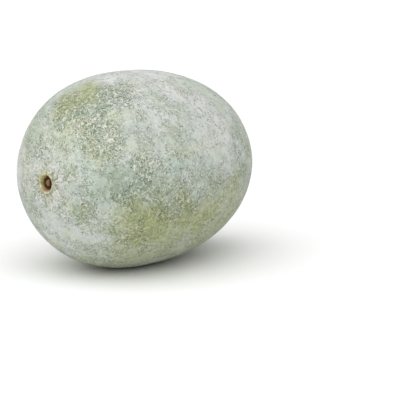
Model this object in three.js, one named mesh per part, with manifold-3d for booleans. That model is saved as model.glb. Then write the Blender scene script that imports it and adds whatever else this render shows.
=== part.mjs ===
// An ash gourd (wax gourd), picked and lying on its side: one solid fruit that grew in one piece.
// It is a blunt, slightly egg-shaped body with a corky crater where the stem came away at one end, a
// small blossom scar at the other end, and the small flat spot on its underside that it rests on.
//
// Millimetres, +Z up. The origin is on the ground, below the middle of the fruit's bounding box. The
// long axis lies along X, with the stem end towards -X and the blossom end towards +X.

import * as THREE from "three";
import { mergeVertices } from "three/addons/utils/BufferGeometryUtils.js";
import Module from "manifold-3d";

// The body.
const LENGTH = 280; // from end to end, before the basin and the dimple sink into the ends
const GIRTH_RADIUS = 101; // at the widest ring
const WIDEST_FROM_STEM = 134; // from the stem end to the widest ring
const STEM_BLUNTNESS = 2.75; // superellipse exponent: 2 is a plain ellipse, more is blunter
const BLOSSOM_BLUNTNESS = 2;
const FLAT_DEPTH = 1.5; // how deep the resting spot is cut into the round underside

// The stem scar: a corky lip round a crater, with the stump of the stem's strands standing in it.
const BASIN_RADIUS = 34; // the skin sinks this far out from the scar
const BASIN_DEPTH = 1.4;
const MOUTH_RADIUS = 7.4;
const LIP_WIDTH = 1.9;
const LIP_RISE = 0.7; // how far the lip stands above the skin round it
const CRATER_DEPTH = 7.6; // from the lip's crest to the crater's floor
const CRATER_TAPER = 2; // the floor's radius is this much smaller than the mouth's
const STUMP_RADIUS = 2.2;
const STUMP_HEIGHT = 3.4; // above the crater's floor
const STUMP_ROUNDING = 0.7; // on its top edge

// The blossom scar: a shallow dimple with a corky button in it.
const DIMPLE_RADIUS = 9;
const DIMPLE_DEPTH = 1.3;
const BUTTON_RADIUS = 3.2;
const BUTTON_HEIGHT = 0.6; // above the dimple's floor
const BUTTON_ROUNDING = 0.8; // on its top edge

// Slow swellings round the girth: each one's share of the radius, its number of waves, and its phase and
// its twist from end to end in radians.
const SWELLINGS = [
  { share: 0.003, waves: 3, phase: 0.7, twist: 0.9 },
  { share: 0.0022, waves: 5, phase: 2.1, twist: -1.4 },
  { share: 0.0012, waves: 9, phase: 4.0, twist: 0.6 },
];

const SEGMENTS = 72; // round the girth
const STEM_RINGS = 20; // from the lip to the widest ring
const BLOSSOM_RINGS = 18; // from the widest ring to the dimple

// How far the round skin falls back from an end plane at a distance from the long axis, on the half of
// the body whose end is that far from the widest ring.
function roundEnd(radius, reach, bluntness) {
  const height = Math.sqrt(1 - (radius / GIRTH_RADIUS) ** 2);
  return reach * (1 - height ** (2 / bluntness));
}

// How deep a soft round hollow is at a distance from its middle.
function hollow(radius, rim, depth) {
  return depth * Math.exp(-2 * (radius / rim) ** 2);
}

// How far the skin lies behind the stem end plane.
function stemSkin(radius) {
  return roundEnd(radius, WIDEST_FROM_STEM, STEM_BLUNTNESS) + hollow(radius, BASIN_RADIUS, BASIN_DEPTH);
}

// How far the skin lies behind the blossom end plane.
function blossomSkin(radius) {
  const round = roundEnd(radius, LENGTH - WIDEST_FROM_STEM, BLOSSOM_BLUNTNESS);
  return round + hollow(radius, DIMPLE_RADIUS, DIMPLE_DEPTH);
}

// Radii of the rings from the widest one to the smallest, closer together towards the widest.
function ringRadii(smallest, rings) {
  const lastAngle = Math.acos(smallest / GIRTH_RADIUS);
  return Array.from({ length: rings + 1 }, (_, i) => GIRTH_RADIUS * Math.cos((lastAngle * i) / rings));
}

// The stem scar's section, from the long axis out to the lip's crest, as [radius, distance behind the
// stem end plane].
function stemScar() {
  const crestRadius = MOUTH_RADIUS + LIP_WIDTH / 2;
  const crest = stemSkin(crestRadius) - LIP_RISE;
  const floor = crest + CRATER_DEPTH;
  const stumpTop = floor - STUMP_HEIGHT;
  return [
    [0, stumpTop],
    [STUMP_RADIUS - STUMP_ROUNDING, stumpTop],
    [STUMP_RADIUS, stumpTop + STUMP_ROUNDING],
    [STUMP_RADIUS, floor],
    [MOUTH_RADIUS - CRATER_TAPER, floor],
    [MOUTH_RADIUS, crest + LIP_RISE],
    [crestRadius, crest],
  ];
}

// The blossom scar's section, from the long axis out to the button's edge, as [radius, distance behind
// the blossom end plane].
function blossomScar() {
  const buttonTop = blossomSkin(0) - BUTTON_HEIGHT;
  return [
    [0, buttonTop],
    [BUTTON_RADIUS - BUTTON_ROUNDING, buttonTop],
    [BUTTON_RADIUS, blossomSkin(BUTTON_RADIUS)],
    [(BUTTON_RADIUS + DIMPLE_RADIUS) / 2, blossomSkin((BUTTON_RADIUS + DIMPLE_RADIUS) / 2)],
  ];
}

// Half of the fruit's section as lathe points: x is the distance from the long axis, and y the distance
// from the stem end.
function section() {
  const stemSide = ringRadii(MOUTH_RADIUS + LIP_WIDTH, STEM_RINGS)
    .reverse()
    .map((radius) => [radius, stemSkin(radius)]);
  const blossomSide = ringRadii(DIMPLE_RADIUS, BLOSSOM_RINGS)
    .slice(1)
    .map((radius) => [radius, LENGTH - blossomSkin(radius)]);
  const blossomEnd = blossomScar()
    .reverse()
    .map(([radius, distance]) => [radius, LENGTH - distance]);
  const points = [...stemScar(), ...stemSide, ...blossomSide, ...blossomEnd];
  return points.map(([radius, along]) => new THREE.Vector2(radius, along));
}

// The share by which the swellings change the radius, at an angle round the long axis and a distance
// along it.
function swelling(angle, along) {
  const parts = SWELLINGS.map(
    ({ share, waves, phase, twist }) => share * Math.cos(waves * angle + phase + (twist * along) / LENGTH),
  );
  return parts.reduce((sum, part) => sum + part, 0);
}

// Moves each point of a lathed body in or out from its long axis, Y, by the swellings.
function swell(geometry) {
  const position = geometry.getAttribute("position");
  for (let i = 0; i < position.count; i++) {
    const [x, along, z] = [position.getX(i), position.getY(i), position.getZ(i)];
    const factor = 1 + swelling(Math.atan2(z, x), along);
    position.setXYZ(i, x * factor, along, z * factor);
  }
}

// A closed geometry as a manifold-3d solid.
function toSolid(wasm, geometry) {
  const bare = geometry.clone();
  bare.deleteAttribute("normal");
  bare.deleteAttribute("uv");
  const merged = mergeVertices(bare, 1e-3);
  return new wasm.Manifold(
    new wasm.Mesh({
      numProp: 3,
      vertProperties: merged.getAttribute("position").array,
      triVerts: new Uint32Array(merged.index.array),
    }),
  );
}

// A manifold-3d solid as a geometry.
function toGeometry(solid) {
  const mesh = solid.getMesh();
  return new THREE.BufferGeometry()
    .setAttribute("position", new THREE.BufferAttribute(mesh.vertProperties, 3))
    .setIndex(new THREE.BufferAttribute(mesh.triVerts, 1));
}

// The round fruit, lying down with its long axis along X and its lowest part below the ground.
function roundFruit() {
  const geometry = new THREE.LatheGeometry(section(), SEGMENTS);
  swell(geometry);
  return geometry.rotateZ(-Math.PI / 2).translate(0, 0, GIRTH_RADIUS - FLAT_DEPTH);
}

// The ground under the fruit, which presses the flat spot into the underside.
function ground() {
  const side = 2 * LENGTH;
  return new THREE.BoxGeometry(side, side, side).translate(LENGTH / 2, 0, -side / 2);
}

// Centres a geometry's bounding box on the Z axis.
function centre(geometry) {
  geometry.computeBoundingBox();
  const middle = geometry.boundingBox.getCenter(new THREE.Vector3());
  return geometry.translate(-middle.x, -middle.y, 0);
}

const wasm = await Module();
wasm.setup();

const lying = toSolid(wasm, roundFruit()).subtract(toSolid(wasm, ground()));
const rind = new THREE.MeshStandardMaterial({ color: 0xb7bfac, roughness: 0.75, metalness: 0 });
const fruit = new THREE.Mesh(centre(toGeometry(lying)), rind);
fruit.name = "ash_gourd";
fruit.geometry.computeVertexNormals();

const gourd = new THREE.Group();
gourd.add(fruit);

export default gourd;
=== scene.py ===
"""An ash gourd lying on its side on a pale studio floor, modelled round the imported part.

The fruit is one natural solid, so it is one piece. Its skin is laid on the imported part's surface, and the
corky scars at its two ends are modelled on it ring by ring. Blender's lengths are in metres, +Z up, with the
stem end towards -X and the blossom end towards +X. Small sizes are named in millimetres.
"""

import logging
import math
from contextlib import contextmanager
from dataclasses import dataclass, field
from enum import Enum
from functools import cached_property
from typing import Callable, Iterator, Mapping, Optional, Sequence, Union

import bmesh
import bpy
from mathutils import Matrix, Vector


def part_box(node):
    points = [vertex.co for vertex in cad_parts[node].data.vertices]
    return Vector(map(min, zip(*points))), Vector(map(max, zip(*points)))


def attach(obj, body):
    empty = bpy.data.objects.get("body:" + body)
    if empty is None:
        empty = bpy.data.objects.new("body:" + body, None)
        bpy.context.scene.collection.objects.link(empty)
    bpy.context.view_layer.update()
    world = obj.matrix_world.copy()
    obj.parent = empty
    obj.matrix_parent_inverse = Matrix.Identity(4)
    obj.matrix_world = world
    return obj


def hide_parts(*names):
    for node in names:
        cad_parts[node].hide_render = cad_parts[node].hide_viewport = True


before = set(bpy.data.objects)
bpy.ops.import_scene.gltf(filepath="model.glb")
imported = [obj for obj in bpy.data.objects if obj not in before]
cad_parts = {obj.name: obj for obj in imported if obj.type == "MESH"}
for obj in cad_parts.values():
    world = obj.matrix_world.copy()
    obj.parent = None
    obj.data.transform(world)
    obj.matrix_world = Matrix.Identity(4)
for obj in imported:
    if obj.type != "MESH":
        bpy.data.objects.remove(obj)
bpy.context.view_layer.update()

CAD_NODE = "ash_gourd"
UV_MAP = "OFBake"
MM = 0.001
QUAD_CORNERS = 4
NOISE_MIDDLE = 0.5
WHITE = (1, 1, 1)

Pair = tuple[float, float]
Colour = tuple[float, float, float]
Direction = tuple[float, float, float]
Socket = bpy.types.NodeSocket
Value = Union[float, Socket]
Inputs = Mapping[Union[int, str], object]

log = logging.getLogger("ash_gourd")


# ---------------------------------------------------------------- modelling tools


class End(Enum):
    """An end of the fruit, and the way that it faces along X."""

    STEM = -1
    BLOSSOM = 1


class Pick(Enum):
    """What a selection in edit mode is made of."""

    EDGES = "EDGE"
    FACES = "FACE"


def only(obj: bpy.types.Object) -> None:
    """Makes an object the active one and the only one selected.

    Args:
        obj: The object.
    """
    bpy.ops.object.select_all(action="DESELECT")
    obj.select_set(True)
    bpy.context.view_layer.objects.active = obj


@contextmanager
def editing(obj: bpy.types.Object) -> Iterator[None]:
    """Opens an object in edit mode, and leaves edit mode at the end.

    Args:
        obj: The mesh object to edit.
    """
    only(obj)
    bpy.ops.object.mode_set(mode="EDIT")
    yield
    bpy.ops.object.mode_set(mode="OBJECT")


def select(obj: bpy.types.Object, kind: Pick, test: Callable[[object], bool]) -> None:
    """Selects the edges or faces of a mesh in edit mode that pass a test, and nothing else.

    Args:
        obj: The mesh object, in edit mode.
        kind: Whether edges or faces are tested.
        test: Says whether one of them is selected.
    """
    bpy.ops.mesh.select_mode(type=kind.value)
    bpy.ops.mesh.select_all(action="DESELECT")
    mesh = bmesh.from_edit_mesh(obj.data)
    for part in mesh.edges if kind is Pick.EDGES else mesh.faces:
        if test(part):
            part.select_set(True)
    mesh.select_flush_mode()
    bmesh.update_edit_mesh(obj.data)


def finish_with(obj: bpy.types.Object, kind: str, **settings: object) -> None:
    """Adds a modifier to an object and applies it.

    Args:
        obj: The mesh object, in object mode.
        kind: The modifier's type.
        settings: The modifier's settings, by name.
    """
    only(obj)
    modifier = obj.modifiers.new(kind.lower(), kind)
    for name, value in settings.items():
        setattr(modifier, name, value)
    bpy.ops.object.modifier_apply(modifier=modifier.name)


# ---------------------------------------------------------------- places on the fruit


@dataclass(frozen=True)
class Fruit:
    """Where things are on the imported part.

    Attributes:
        node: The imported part's object.
        low: The lowest corner of its box.
        high: The highest corner of its box.
    """

    node: bpy.types.Object
    low: Vector
    high: Vector

    @property
    def middle(self) -> Vector:
        """The middle of the box."""
        return (self.low + self.high) / 2

    @property
    def size(self) -> Vector:
        """The box's length, width and height."""
        return self.high - self.low

    @property
    def axis(self) -> Vector:
        """The middle of the long axis, which lies a little below the middle of the box."""
        stem = self.tip(End.STEM)
        return Vector((self.middle.x, stem.y, stem.z))

    def tip(self, end: End) -> Vector:
        """The middle of the ring of skin that reaches furthest out at an end.

        Args:
            end: The end of the fruit.

        Returns:
            The ring's middle, on the fruit's long axis.
        """
        slack = 0.2 * MM
        furthest = max(vertex.co.x * end.value for vertex in self.node.data.vertices)
        ring = [v.co for v in self.node.data.vertices if v.co.x * end.value > furthest - slack]
        return sum(ring, Vector()) / len(ring)

    def skin(self, along: float, angle: float) -> Vector:
        """A point on the skin.

        Args:
            along: How far it is from the middle towards the blossom end, in metres.
            angle: Its angle round the long axis from the top towards -Y, in degrees.

        Returns:
            The point where a line out from the long axis meets the skin.
        """
        turn = math.radians(angle)
        start = self.axis + Vector((along, 0, 0))
        out = Vector((0, -math.sin(turn), math.cos(turn)))
        hit, place, _, _ = self.node.ray_cast(start, out)
        if not hit:
            raise ValueError(f"no skin {along} m from the middle")
        return place


# ---------------------------------------------------------------- materials


def scaled(pair: Pair, factor: float) -> Pair:
    """Two numbers, each multiplied by a factor."""
    return pair[0] * factor, pair[1] * factor


@dataclass(frozen=True)
class Grain:
    """An uneven pattern, and what it stands for at each of its values.

    Attributes:
        size: How large its blotches are, in millimetres.
        detail: How many finer layers they have.
        roughness: How strong the finer layers are.
        shift: Sets it apart from other patterns.
        band: The values where what it stands for starts to show, and where it shows fully.
        shares: How much shows before the band, and after it.
    """

    size: float
    detail: float
    roughness: float
    shift: float = 0
    band: Pair = (0, 1)
    shares: Pair = (0, 1)


class Graph:
    """The node tree of a material or of the world, with a method for each kind of node that they use."""

    def __init__(self, owner: Union[bpy.types.Material, bpy.types.World]) -> None:
        """Starts with the nodes that Blender gives a new material or world."""
        owner.use_nodes = True
        self.tree = owner.node_tree

    @cached_property
    def object_space(self) -> Socket:
        """The object's own coordinates."""
        return self.node("TexCoord", {}).outputs["Object"]

    def feed(self, node: bpy.types.Node, inputs: Inputs) -> None:
        """Links a node's inputs to other nodes, or sets their values.

        Args:
            node: The node.
            inputs: The socket, number, colour or vector that each input gets, by its number or name.
        """
        for key, value in inputs.items():
            socket = node.inputs[key]
            if isinstance(value, Socket):
                self.tree.links.new(value, socket)
            else:
                socket.default_value = (*value, 1.0) if socket.type == "RGBA" else value

    def node(self, kind: str, inputs: Inputs, **settings: object) -> bpy.types.Node:
        """Adds a node.

        Args:
            kind: The shader node's type.
            inputs: What its inputs get.
            settings: Its settings, by name.

        Returns:
            The node.
        """
        node = self.tree.nodes.new(f"ShaderNode{kind}")
        for name, value in settings.items():
            setattr(node, name, value)
        self.feed(node, inputs)
        return node

    def math(self, operation: str, *values: Value, clamp: bool = False) -> Socket:
        """An operation on numbers, whose result may be kept between 0 and 1."""
        return self.node("Math", dict(enumerate(values)), operation=operation, use_clamp=clamp).outputs[0]

    def times(self, first: Value, second: Value) -> Socket:
        """Two numbers multiplied."""
        return self.math("MULTIPLY", first, second)

    def vector(self, operation: str, *values: object) -> Socket:
        """An operation on vectors that gives a vector."""
        return self.node("VectorMath", dict(enumerate(values)), operation=operation).outputs["Vector"]

    def measure(self, operation: str, *values: object) -> Socket:
        """An operation on vectors that gives a number."""
        return self.node("VectorMath", dict(enumerate(values)), operation=operation).outputs["Value"]

    def parts(self, place: Socket) -> tuple[Socket, ...]:
        """The X, Y and Z parts of a vector or a colour."""
        return tuple(self.node("SeparateXYZ", {0: place}).outputs)

    def step(self, value: Value, band: Pair, shares: Pair = (0, 1)) -> Socket:
        """A smooth step.

        Args:
            value: What is stepped.
            band: Where the step starts and where it ends, which may be below its start.
            shares: The result before the step, and after it.

        Returns:
            The result.
        """
        names = ("Value", "From Min", "From Max", "To Min", "To Max")
        inputs = dict(zip(names, (value, *band, *shares)))
        return self.node("MapRange", inputs, interpolation_type="SMOOTHSTEP").outputs["Result"]

    def noise(self, grain: Grain, place: Optional[Socket] = None, output: str = "Fac") -> Socket:
        """A grain's pattern.

        Args:
            grain: The grain.
            place: Its coordinates, or None for object coordinates.
            output: Fac for one number at each point, or Color for three.

        Returns:
            The pattern, whose numbers lie round NOISE_MIDDLE.
        """
        inputs = {
            "Vector": self.object_space if place is None else place,
            "W": grain.shift,
            "Scale": 1 / (grain.size * MM),
            "Detail": grain.detail,
            "Roughness": grain.roughness,
        }
        return self.node("TexNoise", inputs, noise_dimensions="4D").outputs[output]

    def spread(self, grain: Grain, place: Optional[Socket] = None) -> Socket:
        """How much shows at each point of what a grain stands for."""
        return self.step(self.noise(grain, place), grain.band, grain.shares)

    def outline(self, noise: Socket, band: Pair, shares: Pair = (0, 1)) -> Socket:
        """Thin lines round the high parts of a pattern, for a band of distances from its middle value."""
        return self.step(self.math("ABSOLUTE", self.math("SUBTRACT", noise, NOISE_MIDDLE)), band, shares)

    def mix(self, share: Value, first: object, second: object) -> Socket:
        """Two colours mixed by the second one's share, on the Mix node's sockets for colours."""
        return self.node("Mix", {0: share, 6: first, 7: second}, data_type="RGBA").outputs[2]

    def blend(self, share: Value, first: Value, second: Value) -> Socket:
        """Two numbers mixed by the second one's share, on the Mix node's sockets for numbers."""
        return self.node("Mix", {0: share, 2: first, 3: second}, data_type="FLOAT").outputs[0]


@dataclass(frozen=True)
class Look:
    """How a finish looks at each point.

    Attributes:
        colour: Its colour.
        height: How raised it is, as a share of the highest relief.
        roughness: How matt it is.
    """

    colour: Value
    height: Value
    roughness: Value


class Trait(Enum):
    """What a patch of skin has more of than the skin round it."""

    THIN = "thin bloom that lets the skin show"
    YELLOW = "yellow-green skin"
    GREEN = "blue-green skin"
    WARM = "bloom with a warm tint"
    SPECKLED = "cracked and speckled bloom"
    SMOOTH = "thick unbroken bloom"
    # Loose white bloom, which also stands in for painted sheen on the top and round the stem end.
    DUSTY_AND_SHEEN = "loose white bloom"


@dataclass(frozen=True)
class Patch:
    """A patch of skin.

    Attributes:
        along: Where its middle is, in millimetres from the fruit's middle towards the blossom end.
        angle: Where its middle is round the long axis, in degrees from the top towards -Y.
        reach: How far it reaches, in millimetres.
        strength: How strong its trait is in its middle.
    """

    along: float
    angle: float
    reach: float
    strength: float


SKIN_PATCHES = {
    Trait.THIN: (
        Patch(-98, 4, 38, 0.6), Patch(-101, 28, 13, 0.6), Patch(-114, 19, 12, 0.4),
        Patch(-121, 98, 22, 0.35), Patch(-104, 86, 30, 0.45), Patch(-96, 120, 40, 0.5),
        Patch(-68, 106, 45, 0.55), Patch(-15, 108, 45, 0.45), Patch(40, 104, 45, 0.4),
        Patch(-137, 39, 13, 0.2), Patch(-138, -64, 12, 0.4), Patch(-137, -160, 16, 0.5),
        Patch(-134, 102, 14, 0.3), Patch(-128, 123, 18, 0.3),
    ),
    Trait.YELLOW: (
        Patch(-108, -5, 22, 0.9), Patch(-88, 8, 26, 0.9), Patch(-112, 15, 40, 0.4),
        Patch(-131, 90, 8, 0.6), Patch(-92, 118, 45, 0.7), Patch(-50, 108, 45, 0.6),
        Patch(0, 106, 45, 0.5), Patch(45, 104, 45, 0.4), Patch(-137, 39, 15, 0.8),
        Patch(-138, -64, 14, 0.8), Patch(-137, -160, 18, 0.9), Patch(-134, 102, 16, 0.8),
        Patch(-128, 123, 20, 0.7), Patch(-130, 150, 34, 0.5),
    ),
    Trait.GREEN: (
        Patch(-101, 28, 13, 1.0), Patch(-114, 18, 12, 0.7), Patch(-104, 86, 24, 0.8),
        Patch(-92, 56, 30, 0.4), Patch(-121, 98, 24, 0.8), Patch(-30, 80, 50, 0.5),
    ),
    Trait.WARM: (
        Patch(-124, 16, 40, 0.8), Patch(-132, 120, 40, 0.6), Patch(-112, 48, 32, 0.7),
        Patch(-130, -40, 36, 0.4),
    ),
    Trait.SPECKLED: (
        Patch(-112, 40, 30, 0.9), Patch(-80, 24, 26, 1.0), Patch(-110, 8, 26, 0.6),
        Patch(-106, 54, 20, 0.6), Patch(-86, 82, 32, 0.35), Patch(-106, 100, 24, 0.5),
        Patch(-60, 102, 34, 0.6), Patch(-132, 90, 14, 0.5), Patch(-137, 39, 15, 0.4),
        Patch(-137, -160, 18, 0.5), Patch(-128, 123, 22, 0.6),
    ),
    Trait.SMOOTH: (
        Patch(-96, 40, 15, 1.0), Patch(-84, -2, 20, 0.7), Patch(-60, -8, 40, 0.8),
        Patch(-92, 60, 14, 0.4), Patch(-70, 50, 30, 0.3), Patch(0, 58, 66, 0.5),
        Patch(0, 6, 60, 0.7), Patch(50, 34, 50, 0.5), Patch(-124, 90, 14, 0.9),
        Patch(-117, 110, 12, 0.7), Patch(-127, 20, 10, 0.8), Patch(-126, 175, 34, 0.6),
        Patch(-118, -80, 40, 0.7),
    ),
    # Loose white bloom, partly painted sheen: on the top and round the stem end.
    Trait.DUSTY_AND_SHEEN: (
        Patch(-30, 2, 70, 0.8), Patch(-92, 60, 18, 0.2), Patch(0, 30, 56, 0.4),
        Patch(15, 62, 60, 0.7), Patch(-64, 50, 40, 0.6), Patch(-136, 62, 18, 0.8),
        Patch(-138, 104, 12, 0.8), Patch(-136, 72, 24, 0.8), Patch(-138, -100, 22, 0.6),
        Patch(-132, -110, 36, 0.7), Patch(-126, 175, 34, 0.3), Patch(-120, -80, 40, 0.8),
    ),
}

# How the edges of patches stray, and how the skin under the bloom is tinted.
EDGE_SHAKE = Grain(20, 4, 0.65)
YELLOW_TINT = Grain(20, 3, 0.55, 7.7, (0.44, 0.64), (0, 0.9))

# How thick the bloom is, and how it is tinted.
BLOTCHES = Grain(24, 5, 0.65, 3.1, (0.34, 0.66), (0.6, 1.0))
WARM_TINT = Grain(20, 4, 0.6, 9.4, (0.44, 0.66), (0, 0.9))
GREEN_TINT = Grain(17, 3, 0.6, 12.5, (0.44, 0.64), (0, 0.6))

# Where the bloom is cracked: in clusters, and in chains along the outline of a wide pattern.
CLUSTERS = Grain(14, 4, 0.65, 1.3, (0.40, 0.62), (0.15, 0.95))
CHAINS = Grain(15, 4, 0.6, 11.2)
CHAIN_EDGE = (0.045, 0.012)
CHAIN_SHARES = (0.06, 0.85)

# The bloom's islands and their crust, and the values at which each has flecks and hollows.
ISLANDS = Grain(4.0, 2, 0.65, 5.2)
ISLAND_FLECKS = (0.53, 0.64)
ISLAND_HOLLOWS = (0.45, 0.36)
CRUST = Grain(2.6, 2, 1.0, 4.3)
CRUST_FLECKS = (0.5, 0.6)
CRUST_HOLLOWS = (0.5, 0.4)

# The cracks outline the islands except where they are broken, and there finer ones outline the threads.
CRACK_BREAKS = Grain(3.0, 1, 0.5, 8.4, (0.44, 0.58))
THREADS = Grain(2.5, 1, 0.5, 2.7)
CRACK_EDGE = (0.055, 0.015)

# The specks: the size of the cells that they lie in, how far from a cell's middle one starts to show and
# shows fully, and the share of the cells that are bare.
SPECK_CELL = 2.8
SPECK_EDGE = (0.36, 0.18)
BARE_CELLS = 0.65


@dataclass(frozen=True)
class WaxyRind:
    """The rind: green skin under an uneven wax bloom, which is cracked in some places and smooth in others.

    Attributes:
        cool_wax: The thick bloom's colour.
        warm_wax: The thick bloom's colour where it has a warm tint.
        green_wax: The thick bloom's colour where it has a green tint.
        white_wax_and_sheen: The colour of loose white bloom, and of the sheen that is painted on the top and
            round the stem end.
        green_skin: The skin's colour.
        yellow_skin: The skin's colour in its yellow patches.
        crack: The colour of the cracks and specks.
        fleck: The colour of the pale flecks.
        patches: The patches of skin that differ from the rest, by trait.
        core: The share of a patch's reach within which its trait is at its strongest.
        shake: How far the edges of patches stray, in millimetres.
        underside: Where the yellow underside starts and where it is full, as shares of the height.
        stem_fade: The same along the fruit, as shares of the length from the middle.
        worn: How much thinner the bloom is on the underside.
        contrast: How strong flecks and hollows are in smooth bloom, and how much stronger in cracked bloom.
        thread: How strong the fine cracks are beside the others.
        hollow_share: How much of the cracks' colour shows in hollows.
        fleck_share: How much of the flecks' colour shows.
        crack_share: How much of the cracks' colour shows.
        relief: How raised a fleck is, as a share of the highest relief.
        matt: How matt bare skin and thick bloom are.
    """

    cool_wax: Colour = (0.545, 0.58, 0.56)
    warm_wax: Colour = (0.578, 0.598, 0.485)
    green_wax: Colour = (0.465, 0.55, 0.465)
    white_wax_and_sheen: Colour = (0.652, 0.648, 0.66)
    green_skin: Colour = (0.275, 0.34, 0.25)
    yellow_skin: Colour = (0.33, 0.355, 0.165)
    crack: Colour = (0.085, 0.125, 0.05)
    fleck: Colour = (0.74, 0.76, 0.67)
    patches: Mapping[Trait, Sequence[Patch]] = field(default_factory=lambda: SKIN_PATCHES)
    core: float = 0.3
    shake: float = 36
    underside: Pair = (0.41, 0.18)
    stem_fade: Pair = (-0.42, -0.3)
    worn: float = 0.4
    contrast: Pair = (0.3, 0.77)
    thread: float = 0.75
    hollow_share: float = 0.3
    fleck_share: float = 0.42
    crack_share: float = 0.82
    relief: float = 0.25
    matt: Pair = (0.58, 0.82)


class RindPattern:
    """The rind, worked out in a material's node tree."""

    def __init__(self, graph: Graph, fruit: Fruit, rind: WaxyRind) -> None:
        """Works out what the rind's patterns share.

        Args:
            graph: The node tree.
            fruit: Where things are on the fruit.
            rind: The rind's colours and strengths.
        """
        self.graph = graph
        self.fruit = fruit
        self.rind = rind
        self.ragged = self.ragged_place()
        self.traits = {trait: self.trait(patches) for trait, patches in rind.patches.items()}
        self.underside = self.low_side()
        self.density = self.crack_density()
        self.islands = graph.noise(ISLANDS)
        self.crust = graph.noise(CRUST)
        least, more = rind.contrast
        self.contrast = graph.math("MULTIPLY_ADD", self.density, more, least)

    def look(self) -> Look:
        """Lays bloom over the skin, and flecks and cracks over the bloom.

        Returns:
            The rind's look.
        """
        graph, rind = self.graph, self.rind
        flecks = self.spots(ISLAND_FLECKS, CRUST_FLECKS)
        hollows = self.spots(ISLAND_HOLLOWS, CRUST_HOLLOWS)
        chains = graph.outline(graph.noise(CHAINS), CHAIN_EDGE, CHAIN_SHARES)
        cracks = graph.times(self.cracks(), graph.math("MAXIMUM", self.density, chains))
        bloom = self.bloom()
        coat = graph.mix(bloom, self.skin(), self.wax())
        coat = graph.mix(graph.times(hollows, rind.hollow_share), coat, rind.crack)
        coat = graph.mix(graph.times(flecks, rind.fleck_share), coat, rind.fleck)
        coat = graph.mix(graph.times(cracks, rind.crack_share), coat, rind.crack)
        height = graph.math("SUBTRACT", graph.math("SUBTRACT", flecks, hollows), cracks)
        return Look(coat, graph.times(height, rind.relief), graph.step(bloom, (0, 1), rind.matt))

    def ragged_place(self) -> Socket:
        """Object coordinates shaken about, so that what is measured in them has ragged edges.

        Returns:
            The coordinates.
        """
        graph = self.graph
        shake = graph.vector("SUBTRACT", graph.noise(EDGE_SHAKE, output="Color"), (NOISE_MIDDLE,) * 3)
        return graph.vector("MULTIPLY_ADD", shake, (self.rind.shake * MM,) * 3, graph.object_space)

    def trait(self, patches: Sequence[Patch]) -> Value:
        """How much of a trait its patches give each point.

        Args:
            patches: The trait's patches.

        Returns:
            The trait's share, from 0 to 1.
        """
        total: Value = 0.0
        for patch in patches:
            centre = self.fruit.skin(patch.along * MM, patch.angle)
            distance = self.graph.measure("DISTANCE", self.ragged, centre)
            edge = scaled((1, self.rind.core), patch.reach * MM)
            share = self.graph.step(distance, edge, (0, patch.strength))
            total = self.graph.math("ADD", total, share, clamp=True)
        return total

    def low_side(self) -> Socket:
        """The underside, which fades out towards the stem end.

        Returns:
            Its share, from 0 to 1.
        """
        graph, rind, size = self.graph, self.rind, self.fruit.size
        along, _, height = graph.parts(self.ragged)
        low = graph.step(height, scaled(rind.underside, size.z))
        return graph.times(low, graph.step(along, scaled(rind.stem_fade, size.x)))

    def crack_density(self) -> Socket:
        """How cracked and speckled the bloom is, from 0 to 1."""
        density = self.graph.math("ADD", self.graph.spread(CLUSTERS), self.traits[Trait.SPECKLED])
        return self.graph.math("SUBTRACT", density, self.traits[Trait.SMOOTH], clamp=True)

    def bloom(self) -> Socket:
        """How thick the bloom is, from 0 to 1."""
        thickness = self.graph.math("SUBTRACT", self.graph.spread(BLOTCHES), self.traits[Trait.THIN])
        return self.graph.math("MULTIPLY_ADD", self.underside, -self.rind.worn, thickness, clamp=True)

    def wax(self) -> Socket:
        """The thick bloom's colour at each point.

        Returns:
            The colour.
        """
        graph, rind = self.graph, self.rind
        warm = graph.math("ADD", graph.spread(WARM_TINT), self.traits[Trait.WARM], clamp=True)
        wax = graph.mix(warm, rind.cool_wax, rind.warm_wax)
        wax = graph.mix(graph.spread(GREEN_TINT), wax, rind.green_wax)
        # Whiter where loose bloom lies, and where sheen is painted on the top and round the stem end.
        return graph.mix(self.traits[Trait.DUSTY_AND_SHEEN], wax, rind.white_wax_and_sheen)

    def skin(self) -> Socket:
        """The skin's colour under the bloom.

        Returns:
            The colour.
        """
        graph, rind = self.graph, self.rind
        yellow = graph.math("ADD", graph.spread(YELLOW_TINT), self.traits[Trait.YELLOW])
        yellow = graph.math("ADD", yellow, self.underside, clamp=True)
        yellow = graph.math("SUBTRACT", yellow, self.traits[Trait.GREEN], clamp=True)
        return graph.mix(yellow, rind.green_skin, rind.yellow_skin)

    def spots(self, island_band: Pair, crust_band: Pair) -> Socket:
        """Flecks or hollows in the bloom.

        Args:
            island_band: The values at which the islands start to show them, and show them fully.
            crust_band: The same for the crust.

        Returns:
            How strong they are.
        """
        graph = self.graph
        on_islands, on_crust = graph.step(self.islands, island_band), graph.step(self.crust, crust_band)
        return graph.times(graph.math("MAXIMUM", on_islands, on_crust), self.contrast)

    def cracks(self) -> Socket:
        """Short curved cracks round the islands of bloom, finer ones between them, and small specks.

        Returns:
            The cracks' strength, from 0 to 1.
        """
        graph, thread = self.graph, self.rind.thread
        broken = graph.spread(CRACK_BREAKS)
        coarse = graph.times(graph.outline(self.islands, CRACK_EDGE), broken)
        fine = graph.outline(graph.noise(THREADS), CRACK_EDGE)
        fine = graph.times(fine, graph.math("MULTIPLY_ADD", broken, -thread, thread))
        return graph.math("MAXIMUM", graph.math("MAXIMUM", coarse, fine), self.specks())

    def specks(self) -> Socket:
        """Small round specks.

        Returns:
            Their strength, from 0 to 1.
        """
        graph = self.graph
        cells = graph.node("TexVoronoi", {"Vector": graph.object_space, "Scale": 1 / (SPECK_CELL * MM)})
        chance = graph.parts(cells.outputs["Color"])[0]
        speck = graph.step(cells.outputs["Distance"], SPECK_EDGE)
        return graph.times(speck, graph.math("GREATER_THAN", chance, BARE_CELLS))


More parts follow.
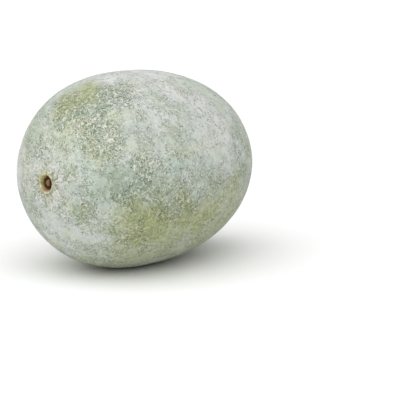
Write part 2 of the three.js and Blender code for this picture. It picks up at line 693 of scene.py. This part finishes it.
# The cork's uneven edges and its crumbs, and its spokes, which are a pattern of directions that bends on the
# way out.
CORK_EDGE = Grain(2.6, 3, 0.6, 2.2)
CRUMBS = Grain(1.1, 3, 0.7, 6.1)
SPOKES = Grain(200, 2, 0.6, 1.9, (0.48, 0.6))
SPOKE_BEND = 40

# How far the edges of the cork, of its knob and of its colours stray, in millimetres.
CORK_STRAY = 3.6
KNOB_STRAY = 1.5
DEPTH_STRAY = 2.4

# Where the cork starts to show and shows fully, in millimetres along the fruit from its end and in
# millimetres beyond the cork's reach, and where the streaks round it do, also beyond its reach.
CORK_NEAR = (24, 16)
CORK_RIM = (0.8, -0.8)
STREAK_RIM = (0.2, 1.4)

# Where each colour starts to show and shows fully, as shares of the scar's depth, of the cork's reach above
# the middle, of the knob's radius and of the halo's width.
WALL_DEPTHS = (0.03, 0.12)
# Painted shade: darker colours laid deeper in the scar, where shade falls.
PAINTED_SHADE_DEPTHS = (0.22, 0.5)
DEEPEST_SHADE_DEPTHS = (0.5, 0.9)
HEEL_HEIGHTS = (-0.1, -0.5)
KNOB_RIM = (1.15, 0.9)
HALO_RIM = (1, 0.3)

# How much shows of the fringe's colour, of the streaks' and, in the spokes on the cork, of the painted
# shade's colour.
FRINGE_SHARE = 0.35
STREAK_SHARE = 0.7
SPOKE_SHARE = 0.4

# How raised the crumbs and how sunk the spokes are, as shares of the highest relief.
CRUMB_RISE = 0.8
SPOKE_SINK = 0.5

HEIGHT_WEIGHT = 0.9  # how much heights count in distances from the middle, as the cork is taller than wide
CORK_ROUGHNESS = 0.85


@dataclass(frozen=True)
class Cork:
    """The dry cork of a scar, from its lip down to its floor and on the knob that stands in its middle, with
    painted shade darkening it deeper down.

    Attributes:
        end: The end of the fruit that the scar is on.
        reach: How far the cork reaches from the middle, in millimetres.
        depth: How deep the scar is, in millimetres.
        knob: The knob's radius, in millimetres.
        knob_tall: The knob's height for its width.
        knob_shift: How far the knob is from the middle along Y and Z, in millimetres.
        halo_width: How far the streaks in the skin reach beyond the cork, in millimetres.
        lip: The colour of the lip.
        wall: The colour of the wall's upper half.
        heel: The same on the wall's lower side.
        painted_shade_and_spokes: Painted shade on the wall towards the floor, darker with depth; the dark
            spokes on the cork take this colour too.
        floor: The darkest painted shade, on the scar's floor.
        top: The colour of the knob.
        fringe: The colour of the skin round the lip.
        streak: The colour of the streaks in it.
    """

    end: End
    reach: float
    depth: float
    knob: float
    knob_tall: float
    knob_shift: Pair
    halo_width: float
    lip: Colour = (0.66, 0.62, 0.44)
    wall: Colour = (0.44, 0.41, 0.17)
    heel: Colour = (0.45, 0.33, 0.20)
    # painted shade: the scar's depths are darkened in colour
    painted_shade_and_spokes: Colour = (0.13, 0.07, 0.01)
    floor: Colour = (0.06, 0.025, 0.002)
    top: Colour = (0.38, 0.24, 0.12)
    fringe: Colour = (0.62, 0.65, 0.50)
    streak: Colour = (0.16, 0.19, 0.07)


STEM_CORK = Cork(
    End.STEM, reach=9.6, depth=7.6, knob=2.3, knob_tall=1.6, knob_shift=(1.2, 0.3), halo_width=13
)
BLOSSOM_CORK = Cork(
    End.BLOSSOM, reach=5.2, depth=1.6, knob=3.4, knob_tall=1, knob_shift=(0, 0), halo_width=5,
    lip=(0.42, 0.40, 0.27),
    wall=(0.30, 0.26, 0.14),
    heel=(0.30, 0.25, 0.15),
    # painted shade, in the groove round the button
    painted_shade_and_spokes=(0.19, 0.15, 0.08),
    floor=(0.15, 0.11, 0.06),
    top=(0.33, 0.27, 0.17),
)


class CorkPattern:
    """A scar's cork and the streaks in the skin round it, worked out in a material's node tree."""

    def __init__(self, graph: Graph, fruit: Fruit, cork: Cork) -> None:
        """Works out what the cork's patterns share.

        Args:
            graph: The node tree.
            fruit: Where things are on the fruit.
            cork: The cork's sizes and colours.
        """
        self.graph = graph
        self.cork = cork
        self.place = graph.vector("SUBTRACT", graph.object_space, fruit.tip(cork.end))
        along, _, self.up = graph.parts(self.place)
        self.near = graph.step(graph.math("ABSOLUTE", along), scaled(CORK_NEAR, MM))
        self.wobble = graph.math("SUBTRACT", graph.noise(CORK_EDGE, self.place), NOISE_MIDDLE)
        radius = graph.measure("LENGTH", self.flat(self.place, HEIGHT_WEIGHT))
        self.radius = self.stray(radius, CORK_STRAY)
        self.below = self.stray(graph.times(along, -cork.end.value), DEPTH_STRAY)
        self.spokes = self.dark_spokes()

    def lay(self, rind: Look) -> Look:
        """Lays the cork over the rind.

        Args:
            rind: The rind's look.

        Returns:
            The look of both.
        """
        graph, cork = self.graph, self.cork
        share = graph.times(self.near, graph.step(self.radius, self.from_reach(CORK_RIM)))
        halo = graph.times(self.near, self.halo())
        streaks = graph.times(halo, self.spokes)
        skin = graph.mix(graph.times(halo, FRINGE_SHARE), rind.colour, cork.fringe)
        skin = graph.mix(graph.times(streaks, STREAK_SHARE), skin, cork.streak)
        skin_height = graph.math("MULTIPLY_ADD", streaks, -SPOKE_SINK, rind.height)
        crumbs = graph.times(graph.noise(CRUMBS, self.place), CRUMB_RISE)
        height = graph.math("MULTIPLY_ADD", self.spokes, -SPOKE_SINK, crumbs)
        return Look(
            graph.mix(share, skin, self.colour()),
            graph.blend(share, skin_height, height),
            graph.blend(share, rind.roughness, CORK_ROUGHNESS),
        )

    def flat(self, place: Socket, tall: float) -> Socket:
        """A place seen along the fruit, with its height multiplied by a number."""
        return self.graph.vector("MULTIPLY", place, (0, 1, tall))

    def stray(self, length: Socket, far: float) -> Socket:
        """A length made uneven, within a range of a number of millimetres."""
        return self.graph.math("MULTIPLY_ADD", self.wobble, far * MM, length)

    def from_reach(self, distances: Pair) -> Pair:
        """Distances from the cork's reach, as distances from the scar's middle in metres."""
        return scaled((self.cork.reach + distances[0], self.cork.reach + distances[1]), MM)

    def deeper(self, depths: Pair) -> Socket:
        """How much shows of a colour that is for a pair of shares of the scar's depth."""
        return self.graph.step(self.below, scaled(depths, self.cork.depth * MM))

    def colour(self) -> Socket:
        """The cork's colour at each point.

        Returns:
            The colour.
        """
        graph, cork = self.graph, self.cork
        heel = graph.step(self.up, scaled(HEEL_HEIGHTS, cork.reach * MM))
        colour = graph.mix(self.deeper(WALL_DEPTHS), cork.lip, graph.mix(heel, cork.wall, cork.heel))
        # Painted shade: the deeper in the scar, the darker the colour.
        colour = graph.mix(self.deeper(PAINTED_SHADE_DEPTHS), colour, cork.painted_shade_and_spokes)
        colour = graph.mix(self.deeper(DEEPEST_SHADE_DEPTHS), colour, cork.floor)
        colour = graph.mix(self.knob(), colour, cork.top)
        return graph.mix(graph.times(self.spokes, SPOKE_SHARE), colour, cork.painted_shade_and_spokes)

    def knob(self) -> Socket:
        """The knob, which may be taller than wide and off the middle.

        Returns:
            Its share, from 0 to 1.
        """
        cork = self.cork
        away = self.graph.vector("SUBTRACT", self.place, (0, *scaled(cork.knob_shift, MM)))
        radius = self.graph.measure("LENGTH", self.flat(away, 1 / cork.knob_tall))
        return self.graph.step(self.stray(radius, KNOB_STRAY), scaled(KNOB_RIM, cork.knob * MM))

    def halo(self) -> Socket:
        """The ring of skin round the lip, from 0 to 1."""
        outer = self.graph.step(self.radius, self.from_reach(scaled(HALO_RIM, self.cork.halo_width)))
        return self.graph.times(outer, self.graph.step(self.radius, self.from_reach(STREAK_RIM)))

    def dark_spokes(self) -> Socket:
        """Dark streaks that run out from the scar's middle.

        Returns:
            Their strength, from 0 to 1.
        """
        direction = self.graph.vector("NORMALIZE", self.flat(self.place, 1))
        bent = self.graph.vector("MULTIPLY_ADD", self.place, (SPOKE_BEND,) * 3, direction)
        return self.graph.spread(SPOKES, bent)


@dataclass(frozen=True)
class GourdSkin:
    """The whole fruit's finish: the waxy rind with the cork of its scars.

    Attributes:
        rind: The rind.
        corks: The cork of each scar.
        relief: How high the highest relief of the finish is, in millimetres.
        gloss: The share of light that the wax throws back as a gloss.
        down: How strongly the fine dust of the bloom brightens the skin towards its outline.
        softness: How softly it does so.
    """

    rind: WaxyRind = field(default_factory=WaxyRind)
    corks: Sequence[Cork] = (STEM_CORK, BLOSSOM_CORK)
    relief: float = 1.0
    gloss: float = 0.22
    down: float = 0.08
    softness: float = 0.5

    def build(self, fruit: Fruit) -> bpy.types.Material:
        """Makes the material.

        Args:
            fruit: Where things are on the fruit.

        Returns:
            The material.
        """
        material = bpy.data.materials.new("waxy_rind")
        graph = Graph(material)
        look = RindPattern(graph, fruit, self.rind).look()
        for cork in self.corks:
            look = CorkPattern(graph, fruit, cork).lay(look)
        relief = graph.node("Bump", {"Height": look.height, "Strength": 1, "Distance": self.relief * MM})
        inputs = {
            "Base Color": look.colour,
            "Roughness": look.roughness,
            "Normal": relief.outputs["Normal"],
            "Specular IOR Level": self.gloss,
            "Sheen Weight": self.down,
            "Sheen Roughness": self.softness,
        }
        graph.feed(graph.tree.nodes["Principled BSDF"], inputs)
        return material


@dataclass(frozen=True)
class PaleFloor:
    """The studio floor's plain matt finish.

    Attributes:
        colour: Its colour.
        roughness: How matt it is.
        gloss: The share of light that it throws back as a gloss.
    """

    colour: Colour = (0.93, 0.93, 0.93)
    roughness: float = 0.9
    gloss: float = 0.1

    def build(self) -> bpy.types.Material:
        """Makes the floor's material.

        Returns:
            The material.
        """
        material = bpy.data.materials.new("pale_floor")
        graph = Graph(material)
        inputs = {"Base Color": self.colour, "Roughness": self.roughness, "Specular IOR Level": self.gloss}
        graph.feed(graph.tree.nodes["Principled BSDF"], inputs)
        return material


# ---------------------------------------------------------------- the fruit


@dataclass(frozen=True)
class Growth:
    """Uneven growth, which moves a surface in and out.

    Attributes:
        name: What the unevenness is called.
        size: How large its swellings are, in millimetres.
        rise: How far the surface moves from its lowest to its highest, in millimetres.
    """

    name: str
    size: float
    rise: float

    def move(self, body: bpy.types.Object, group: str = "") -> None:
        """Moves a body's surface.

        Args:
            body: The body.
            group: The vertex group that moves, or nothing for the whole body.
        """
        texture = bpy.data.textures.new(self.name, "CLOUDS")
        texture.noise_scale = self.size * MM
        settings = {"texture_coords": "LOCAL", "mid_level": 0.5, "vertex_group": group}
        finish_with(body, "DISPLACE", texture=texture, strength=self.rise * MM, **settings)


@dataclass(frozen=True)
class Ring:
    """One ring of a scar, laid inside the last one.

    Attributes:
        radius: Its radius, in millimetres.
        depth: How far into the fruit it lies from the scar's outermost ring, in millimetres.
        tall: Its height for its width.
        shift: How far its middle is moved from the last ring's along Y and Z, in millimetres.
    """

    radius: float
    depth: float
    tall: float = 1.0
    shift: Pair = (0, 0)


@dataclass(frozen=True)
class Scar:
    """The corky scar at an end of the fruit, from its outermost ring inwards.

    Attributes:
        end: The end of the fruit that it is on.
        radius: The outermost ring's radius, in millimetres.
        rings: The inner rings, in order.
        rough: How far the cork's surface goes in and out, in millimetres.
        crumbs: The sizes of the cork's crumbs in millimetres, and how rough each size makes it.
        fade: The share of the radius over which the roughness fades out.
    """

    end: End
    radius: float
    rings: Sequence[Ring]
    rough: float
    crumbs: Sequence[Pair] = ((5.0, 1.2), (2.2, 1.0), (1.0, 0.5))
    fade: float = 0.25

    def open_cap(self, body: bpy.types.Object, axis: Vector) -> None:
        """Turns the rough body's pole into one round face with the outermost ring's radius.

        Args:
            body: The rough body.
            axis: A point on its long axis.
        """

        def in_cap(face: bmesh.types.BMFace) -> bool:
            """Whether a face lies inside the outermost ring."""
            away = face.calc_center_median() - axis
            return away.x * self.end.value > 0 and math.hypot(away.y, away.z) < self.radius * MM

        with editing(body):
            select(body, Pick.FACES, in_cap)
            bpy.ops.mesh.dissolve_faces()
            self.widen(body, self.radius, 1)

    def build(self, body: bpy.types.Object) -> None:
        """Models the scar inside its round face.

        Args:
            body: The fruit's body.
        """

        def is_cap(face: bmesh.types.BMFace) -> bool:
            """Whether a face is the round one at this end."""
            return len(face.verts) > QUAD_CORNERS and face.normal.x * self.end.value > 0

        with editing(body):
            select(body, Pick.FACES, is_cap)
            depth = 0.0
            for ring in self.rings:
                bpy.ops.mesh.extrude_region_move()
                self.widen(body, ring.radius, ring.tall)
                across, up = ring.shift
                inwards = -self.end.value * (ring.depth - depth) * MM
                bpy.ops.transform.translate(value=(inwards, across * MM, up * MM))
                depth = ring.depth
            bpy.ops.mesh.poke()

    def widen(self, body: bpy.types.Object, radius: float, tall: float) -> None:
        """Gives the selected round face a size.

        Args:
            body: The fruit's body, in edit mode.
            radius: The radius, in millimetres.
            tall: The face's height for its width.
        """
        face = next(face for face in bmesh.from_edit_mesh(body.data).faces if face.select)
        middle = face.calc_center_median()
        half_width = max(abs(vertex.co.y - middle.y) for vertex in face.verts)
        half_height = max(abs(vertex.co.z - middle.z) for vertex in face.verts)
        stretch = math.sqrt(tall)
        factors = (1, radius * MM / stretch / half_width, radius * MM * stretch / half_height)
        bpy.ops.transform.resize(value=factors, center_override=middle)

    def crumble(self, body: bpy.types.Object, tip: Vector) -> None:
        """Makes the cork's surface uneven.

        Args:
            body: The smooth body.
            tip: The middle of the scar's lip.
        """
        name = f"{self.end.name.lower()}_cork"
        group = body.vertex_groups.new(name=name)
        edge = self.radius * MM
        for vertex in body.data.vertices:
            away = vertex.co - tip
            radius = math.hypot(away.y, away.z)
            if radius < edge and abs(away.x) < edge:
                group.add([vertex.index], min(1, (1 - radius / edge) / self.fade), "REPLACE")
        for size, share in self.crumbs:
            Growth(f"{name}_{size}", size, self.rough * share).move(body, name)


STEM_SCAR = Scar(
    End.STEM,
    radius=12.5,
    rough=0.55,
    rings=(
        Ring(10.6, 0.0, 1.04),  # collar
        Ring(10.0, -0.02, 1.08),  # lip's foot
        Ring(9.6, -0.45, 1.1),  # lip's outer edge
        Ring(9.0, -0.75, 1.12),  # lip's crest
        Ring(8.3, -0.6, 1.14),  # lip's inner edge
        Ring(7.7, 0.0, 1.16),  # mouth
        Ring(7.0, 1.0, 1.16),  # upper wall
        Ring(6.3, 2.3, 1.16),  # wall
        Ring(5.7, 3.9, 1.16),  # lower wall
        Ring(5.1, 5.6, 1.18, (0.2, 0)),  # floor's edge
        Ring(4.2, 6.4, 1.25, (0.4, 0.1)),  # floor
        Ring(3.3, 6.2, 1.5, (0.2, 0)),  # stump's foot
        Ring(2.7, 4.2, 1.7, (0.1, 0)),  # stump's side
        Ring(2.3, 2.7, 1.8, (0.1, 0)),  # stump's shoulder
        Ring(1.3, 2.1, 1.9, (0.1, 0.2)),  # stump's top
    ),
)

BLOSSOM_SCAR = Scar(
    End.BLOSSOM,
    radius=9,
    rough=0.3,
    rings=(
        Ring(7.2, 0.1),  # dimple's edge
        Ring(5.2, 0.4),  # dimple
        Ring(4.2, 1.0),  # groove
        Ring(3.7, 1.1),  # button's foot
        Ring(3.3, 0.4),  # button's side
        Ring(2.8, 0.15),  # button's edge
        Ring(1.4, 0.3),  # button's top
    ),
)


@dataclass
class Gourd:
    """The whole fruit.

    Attributes:
        fruit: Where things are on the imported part.
        segments: How many faces the body has round its girth before it is smoothed.
        rings: How many it has from end to end.
        weld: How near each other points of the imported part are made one, in millimetres.
        cap: Where the end caps of the flat skin start, as a share of the length from the middle.
        gap: The gap between the parts of the flat skin, as a share of its side.
        scars: The scars at its ends.
        growths: How its skin is uneven.
        finish: Its finish.
    """

    fruit: Fruit
    segments: int = 160
    rings: int = 112
    weld: float = 0.01
    cap: float = 0.36
    gap: float = 0.005
    scars: Sequence[Scar] = (STEM_SCAR, BLOSSOM_SCAR)
    growths: Sequence[Growth] = (Growth("slow swellings", 70, 1.2), Growth("dents", 18, 0.35))
    finish: GourdSkin = field(default_factory=GourdSkin)

    def build(self) -> bpy.types.Object:
        """Models and dresses the fruit.

        Returns:
            The finished piece.
        """
        body = self.rough_body()
        for scar in self.scars:
            scar.open_cap(body, self.fruit.axis)
        self.lay_on_part(body)
        for scar in self.scars:
            scar.build(body)
        self.unwrap(body)
        finish_with(body, "SUBSURF", levels=1, render_levels=1)
        bpy.ops.object.shade_smooth()
        for growth in self.growths:
            growth.move(body)
        for scar in self.scars:
            scar.crumble(body, self.fruit.tip(scar.end))
        self.rest(body)
        body.data.materials.append(self.finish.build(self.fruit))
        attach(body, "root")
        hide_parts(CAD_NODE)
        return body

    def rough_body(self) -> bpy.types.Object:
        """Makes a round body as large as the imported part, with its poles at the fruit's ends.

        Returns:
            The body.
        """
        axis = self.fruit.axis
        length, width, _ = self.fruit.size
        bpy.ops.object.select_all(action="DESELECT")
        bpy.ops.mesh.primitive_uv_sphere_add(
            segments=self.segments,
            ring_count=self.rings,
            radius=0.5,  # a ball 1 m across, which is stretched to the fruit's sizes
            location=axis,
            rotation=(0, math.pi / 2, 0),
            scale=(2 * (self.fruit.high.z - axis.z), width, length),
        )
        body = bpy.context.active_object
        body.name = body.data.name = "whole_gourd"
        bpy.ops.object.transform_apply(location=True, rotation=True, scale=True)
        return body

    def lay_on_part(self, body: bpy.types.Object) -> None:
        """Lays the body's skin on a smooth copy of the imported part.

        Args:
            body: The rough body.
        """
        guide = self.fruit.node.copy()
        guide.data = self.fruit.node.data.copy()
        bpy.context.scene.collection.objects.link(guide)
        with editing(guide):
            bpy.ops.mesh.select_all(action="SELECT")
            bpy.ops.mesh.remove_doubles(threshold=self.weld * MM)
            bpy.ops.mesh.tris_convert_to_quads()
        finish_with(guide, "SUBSURF", levels=2, render_levels=2)
        finish_with(body, "SHRINKWRAP", target=guide, wrap_method="NEAREST_SURFACEPOINT")
        bpy.data.objects.remove(guide)

    def unwrap(self, body: bpy.types.Object) -> None:
        """Lays the skin out flat, as two end caps and two halves of the band between them.

        Args:
            body: The body, with its scars.
        """
        body.data.uv_layers[0].name = UV_MAP
        with editing(body):
            for end in End:
                select(body, Pick.FACES, lambda face: self.in_end_cap(face, end))
                bpy.ops.mesh.region_to_loop()
                bpy.ops.mesh.mark_seam()
            select(body, Pick.EDGES, self.on_band_seam)
            bpy.ops.mesh.mark_seam()
            bpy.ops.mesh.select_all(action="SELECT")
            bpy.ops.uv.unwrap(method="ANGLE_BASED", margin=self.gap)

    def in_end_cap(self, face: bmesh.types.BMFace, end: End) -> bool:
        """Whether a face is on the cap at an end."""
        return face.calc_center_median().x * end.value > self.cap * self.fruit.size.x

    def on_band_seam(self, edge: bmesh.types.BMEdge) -> bool:
        """Says where the band between the caps is cut open.

        Args:
            edge: An edge of the body.

        Returns:
            Whether the edge runs lengthwise along the band's top or bottom.
        """
        first, second = (vertex.co for vertex in edge.verts)
        lengthwise = abs(first.x - second.x) > abs(first.y - second.y)
        between = abs(first.x + second.x) / 2 < self.cap * self.fruit.size.x
        slack = 0.5 * MM
        return lengthwise and between and max(abs(first.y), abs(second.y)) < slack

    def rest(self, body: bpy.types.Object) -> None:
        """Presses what hangs below the ground up to it."""
        for vertex in body.data.vertices:
            vertex.co.z = max(vertex.co.z, self.fruit.low.z)


# ---------------------------------------------------------------- the studio


@dataclass(frozen=True)
class SoftLight:
    """A large, far studio light.

    Attributes:
        name: Its name.
        bearing: The way to it from the fruit.
        spread: How large it looks from the fruit, in degrees.
        power: How bright it is, in watts per square metre.
    """

    name: str
    bearing: Direction
    spread: float
    power: float

    def build(self, aim: Vector) -> None:
        """Hangs the light up.

        Args:
            aim: The point that it shines on.
        """
        data = bpy.data.lights.new(self.name, "SUN")
        data.angle = math.radians(self.spread)
        data.energy = self.power
        light = bpy.data.objects.new(self.name, data)
        light.location = aim + Vector(self.bearing)
        light.rotation_euler = (-Vector(self.bearing)).to_track_quat("-Z", "Y").to_euler()
        bpy.context.scene.collection.objects.link(light)


@dataclass
class Studio:
    """The pale floor, the white room and the lights.

    Attributes:
        reach: Half the floor's side, in metres.
        room: How strongly the room lights the fruit, from 0 to 1.
        lights: The studio lights.
        finish: The floor's finish.
    """

    reach: float = 30.0
    room: float = 0.5
    lights: Sequence[SoftLight] = (SoftLight("overhead_light", (-0.66, -0.26, 1.22), 95, 2.5),)
    finish: PaleFloor = field(default_factory=PaleFloor)

    def build(self, aim: Vector) -> None:
        """Makes the floor, the room's light and the lights.

        Args:
            aim: The point that the lights shine on.
        """
        bpy.ops.object.select_all(action="DESELECT")
        bpy.ops.mesh.primitive_plane_add(size=2 * self.reach)
        floor = bpy.context.active_object
        floor.name = "floor"
        floor.data.materials.append(self.finish.build())
        self.paint_room()
        bpy.context.scene.view_settings.view_transform = "Standard"
        for light in self.lights:
            light.build(aim)

    def paint_room(self) -> None:
        """Makes the room white to look at, and dimmer as a light."""
        world = bpy.data.worlds.new("white_room")
        graph = Graph(world)
        as_light = graph.tree.nodes["Background"]
        as_seen = graph.node("Background", {"Color": WHITE, "Strength": 1})
        graph.feed(as_light, {"Color": WHITE, "Strength": self.room})
        by_camera = graph.node("LightPath", {}).outputs["Is Camera Ray"]
        both = graph.node("MixShader", {0: by_camera, 1: as_light.outputs[0], 2: as_seen.outputs[0]})
        graph.feed(graph.tree.nodes["World Output"], {"Surface": both.outputs[0]})
        bpy.context.scene.world = world


@dataclass
class Viewpoint:
    """Where the camera stands and what it looks at.

    Attributes:
        azimuth: Its angle round the fruit in degrees: 0 looks along +Y.
        elevation: Its angle above the horizon in degrees.
        distance: How far it is from the middle of the fruit, in metres.
        lens: Its focal length in millimetres.
        beside: How far to the right of the fruit's middle it looks, in metres.
        above: How far above the fruit's middle it looks, in metres.
    """

    azimuth: float = -48.5
    elevation: float = 8.5
    distance: float = 1.254
    lens: float = 108
    beside: float = 0.0602
    above: float = -0.0367

    def build(self, middle: Vector) -> None:
        """Stands the camera up and makes it the scene's.

        Args:
            middle: The middle of the fruit.
        """
        turn, tilt = math.radians(self.azimuth), math.radians(self.elevation)
        back = Vector((math.sin(turn) * math.cos(tilt), -math.cos(turn) * math.cos(tilt), math.sin(tilt)))
        right = Vector((math.cos(turn), math.sin(turn), 0))
        target = middle + right * self.beside + Vector((0, 0, self.above))
        data = bpy.data.cameras.new("camera")
        data.lens = self.lens
        camera = bpy.data.objects.new("camera", data)
        camera.location = middle + back * self.distance
        camera.rotation_euler = (target - camera.location).to_track_quat("-Z", "Y").to_euler()
        bpy.context.scene.collection.objects.link(camera)
        bpy.context.scene.camera = camera


# ---------------------------------------------------------------- the whole scene


def main() -> None:
    """Builds the fruit, then the studio and the camera round it."""
    logging.basicConfig(level=logging.INFO, format="%(name)s: %(message)s")
    low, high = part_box(CAD_NODE)
    fruit = Fruit(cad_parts[CAD_NODE], Vector(low), Vector(high))
    body = Gourd(fruit).build()
    log.info("%s: %d faces", body.name, len(body.data.polygons))
    Studio().build(fruit.middle)
    Viewpoint().build(fruit.middle)
    log.info("studio and camera in place")


if __name__ == "__main__":
    main()
